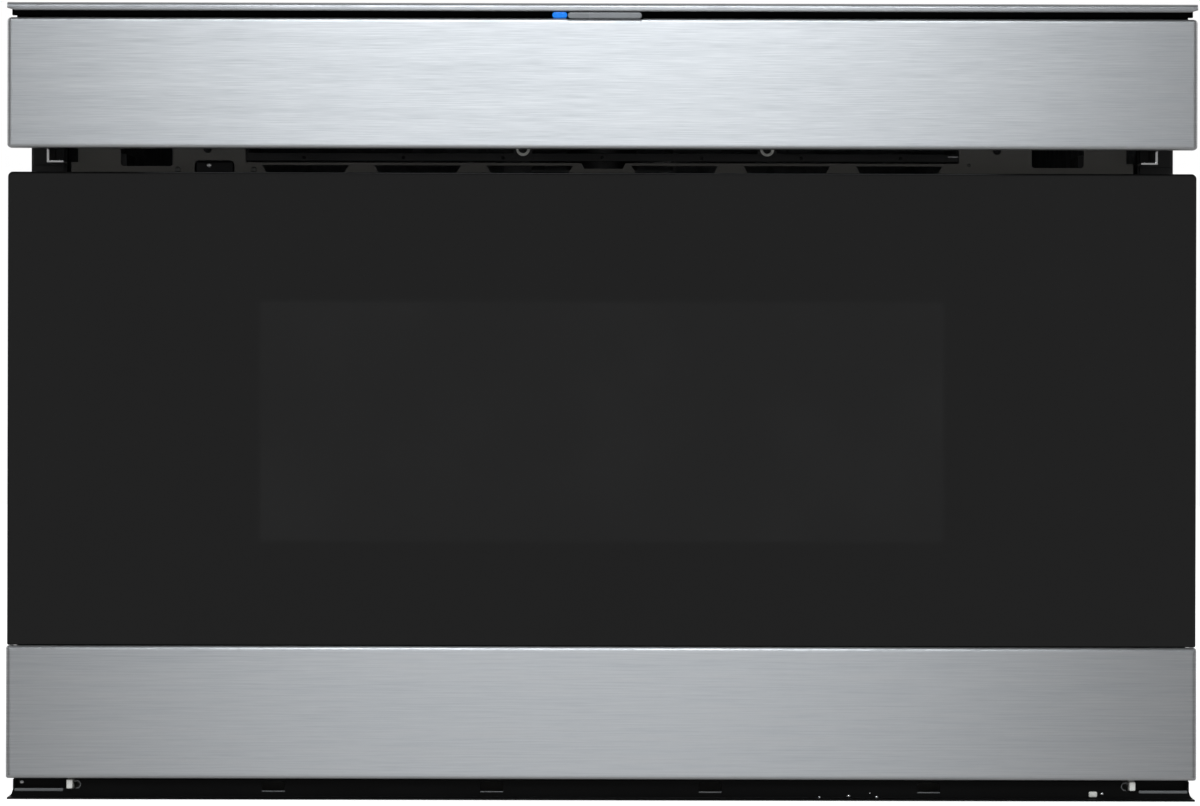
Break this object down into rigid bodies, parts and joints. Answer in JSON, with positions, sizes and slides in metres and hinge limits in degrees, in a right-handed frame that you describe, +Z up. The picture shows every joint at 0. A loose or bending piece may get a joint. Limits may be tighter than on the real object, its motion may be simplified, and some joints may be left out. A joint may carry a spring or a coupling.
{
  "type": "microwave drawer",
  "caption": "Built-in microwave drawer with a motor-driven tub behind a black glass front, a tilting stainless control panel, slides, drive and microwave parts inside.",
  "frame": {"origin": "centre of the underside of the whole oven's box, on the surface that it stands on", "axes": "+Z up, the drawer opens towards -Y, +X to the right seen from the front"},
  "size_m": [0.606, 0.594, 0.4061],
  "materials": {
    "stainless": "brushed along the width",
    "black_steel": "satin black paint",
    "zinc_steel": "galvanised, fine spangle",
    "grey_plate": "satin grey paint",
    "cavity_enamel": "smooth grey enamel",
    "black_glass": "polished, printed black on the back",
    "ceramic": "smooth glazed",
    "black_plastic": "fine moulded texture",
    "white_nylon": "moulded",
    "cast_aluminium": "plain rolled",
    "core_steel": "varnished laminations and windings",
    "circuit_board": "solder mask",
    "key_grey": "satin silver-grey",
    "blue_lens": "clear blue",
    "clear_glass": "polished"
  },
  "bodies": {
    "chassis": {"base_plate": "black_steel", "front_frame": "black_steel", "top_trim": "stainless", "cabinet_wrap": "zinc_steel", "rear_panel": "zinc_steel", "cord_bushing": "black_plastic", "oven_front_plate": "grey_plate", "oven_cavity": "cavity_enamel", "vent_duct": "black_steel", "waveguide": "zinc_steel", "magnetron": "cast_aluminium", "stirrer_motor": "zinc_steel", "stirrer_cover": "white_nylon", "oven_lamp": "ceramic", "hv_transformer": "core_steel", "hv_capacitor": "cast_aluminium", "fan_housing": "black_plastic", "fan_motor": "zinc_steel", "power_board": "circuit_board", "tilt_motor": "black_plastic", "panel_bracket_left": "zinc_steel", "panel_bracket_right": "zinc_steel", "rail_guide_left": "white_nylon", "rail_guide_right": "white_nylon", "drive_bracket": "zinc_steel", "drive_motor": "black_plastic", "slide_outer_left": "zinc_steel", "slide_outer_right": "zinc_steel", "latch_switch_left": "black_plastic", "latch_switch_right": "black_plastic"},
    "drawer": {"drawer_glass": "black_glass", "drawer_trim": "stainless", "door_frame": "black_steel", "window_screen": "black_steel", "inner_window": "clear_glass", "choke_cover": "black_plastic", "drawer_tub": "cavity_enamel", "drawer_floor": "ceramic", "drive_rack": "white_nylon", "drawer_arm_left": "zinc_steel", "drawer_arm_right": "zinc_steel", "slide_inner_left": "zinc_steel", "slide_inner_right": "zinc_steel", "latch_hook_left": "zinc_steel", "latch_hook_right": "zinc_steel"},
    "slide_mid_left": {"slide_mid_left": "zinc_steel"},
    "slide_mid_right": {"slide_mid_right": "zinc_steel"},
    "drive_pinion": {"drive_pinion": "white_nylon"},
    "control_panel": {"control_fascia": "stainless", "control_housing": "black_plastic", "control_glass": "black_glass", "control_board": "circuit_board", "tilt_sector": "zinc_steel", "sensor_lens": "blue_lens"},
    "tilt_pinion": {"tilt_pinion": "white_nylon"},
    "open_key": {"open_key": "key_grey"},
    "cooling_fan": {"fan_blades": "black_plastic"},
    "stirrer": {"stirrer_fan": "cast_aluminium"},
    "interlock_lever_left": {"interlock_lever_left": "white_nylon"},
    "interlock_lever_right": {"interlock_lever_right": "white_nylon"}
  },
  "joints": [
    {"name": "drawer_slide", "type": "slide", "parent": "chassis", "child": "drawer", "axis": [0, -1, 0], "range_m": [0, 0.385]},
    {"name": "slide_mid_left_travel", "type": "slide", "parent": "chassis", "child": "slide_mid_left", "axis": [0, -1, 0], "range_m": [0, 0.193]},
    {"name": "slide_mid_right_travel", "type": "slide", "parent": "chassis", "child": "slide_mid_right", "axis": [0, -1, 0], "range_m": [0, 0.193]},
    {"name": "drive_pinion_spin", "type": "hinge", "parent": "chassis", "child": "drive_pinion", "pos_m": [0, -0.229, 0.04], "axis": [1, 0, 0], "range_deg": [0, 1580]},
    {"name": "panel_tilt", "type": "hinge", "parent": "chassis", "child": "control_panel", "pos_m": [0, -0.285, 0.338], "axis": [1, 0, 0], "range_deg": [0, 45]},
    {"name": "tilt_pinion_spin", "type": "hinge", "parent": "chassis", "child": "tilt_pinion", "pos_m": [-0.24, -0.25223, 0.36094], "axis": [1, 0, 0], "range_deg": [-213, 0]},
    {"name": "open_key_press", "type": "slide", "parent": "control_panel", "child": "open_key", "axis": [0, 1, 0], "range_m": [0, 0.001], "stiffness_N_per_m": 400},
    {"name": "cooling_fan_spin", "type": "hinge", "parent": "chassis", "child": "cooling_fan", "pos_m": [-0.12, 0.27, 0.19], "axis": [0, 1, 0], "continuous": true},
    {"name": "stirrer_spin", "type": "hinge", "parent": "chassis", "child": "stirrer", "pos_m": [0, -0.122, 0.26], "axis": [0, 0, 1], "continuous": true},
    {"name": "interlock_left_swing", "type": "hinge", "parent": "chassis", "child": "interlock_lever_left", "pos_m": [-0.258, -0.233, 0.322], "axis": [1, 0, 0], "range_deg": [0, 12.5]},
    {"name": "interlock_right_swing", "type": "hinge", "parent": "chassis", "child": "interlock_lever_right", "pos_m": [0.258, -0.233, 0.322], "axis": [1, 0, 0], "range_deg": [0, 12.5]}
  ],
  "couplings": [
    {"joint": "slide_mid_left_travel", "follows": "drawer_slide", "ratio": 0.5},
    {"joint": "slide_mid_right_travel", "follows": "drawer_slide", "ratio": 0.5},
    {"joint": "drive_pinion_spin", "follows": "drawer_slide", "rad_per_m": 71.429},
    {"joint": "interlock_left_swing", "follows": "drawer_slide", "rad_per_m": 0.544},
    {"joint": "interlock_right_swing", "follows": "drawer_slide", "rad_per_m": 0.544},
    {"joint": "tilt_pinion_spin", "follows": "panel_tilt", "ratio": -4.7143}
  ]
}
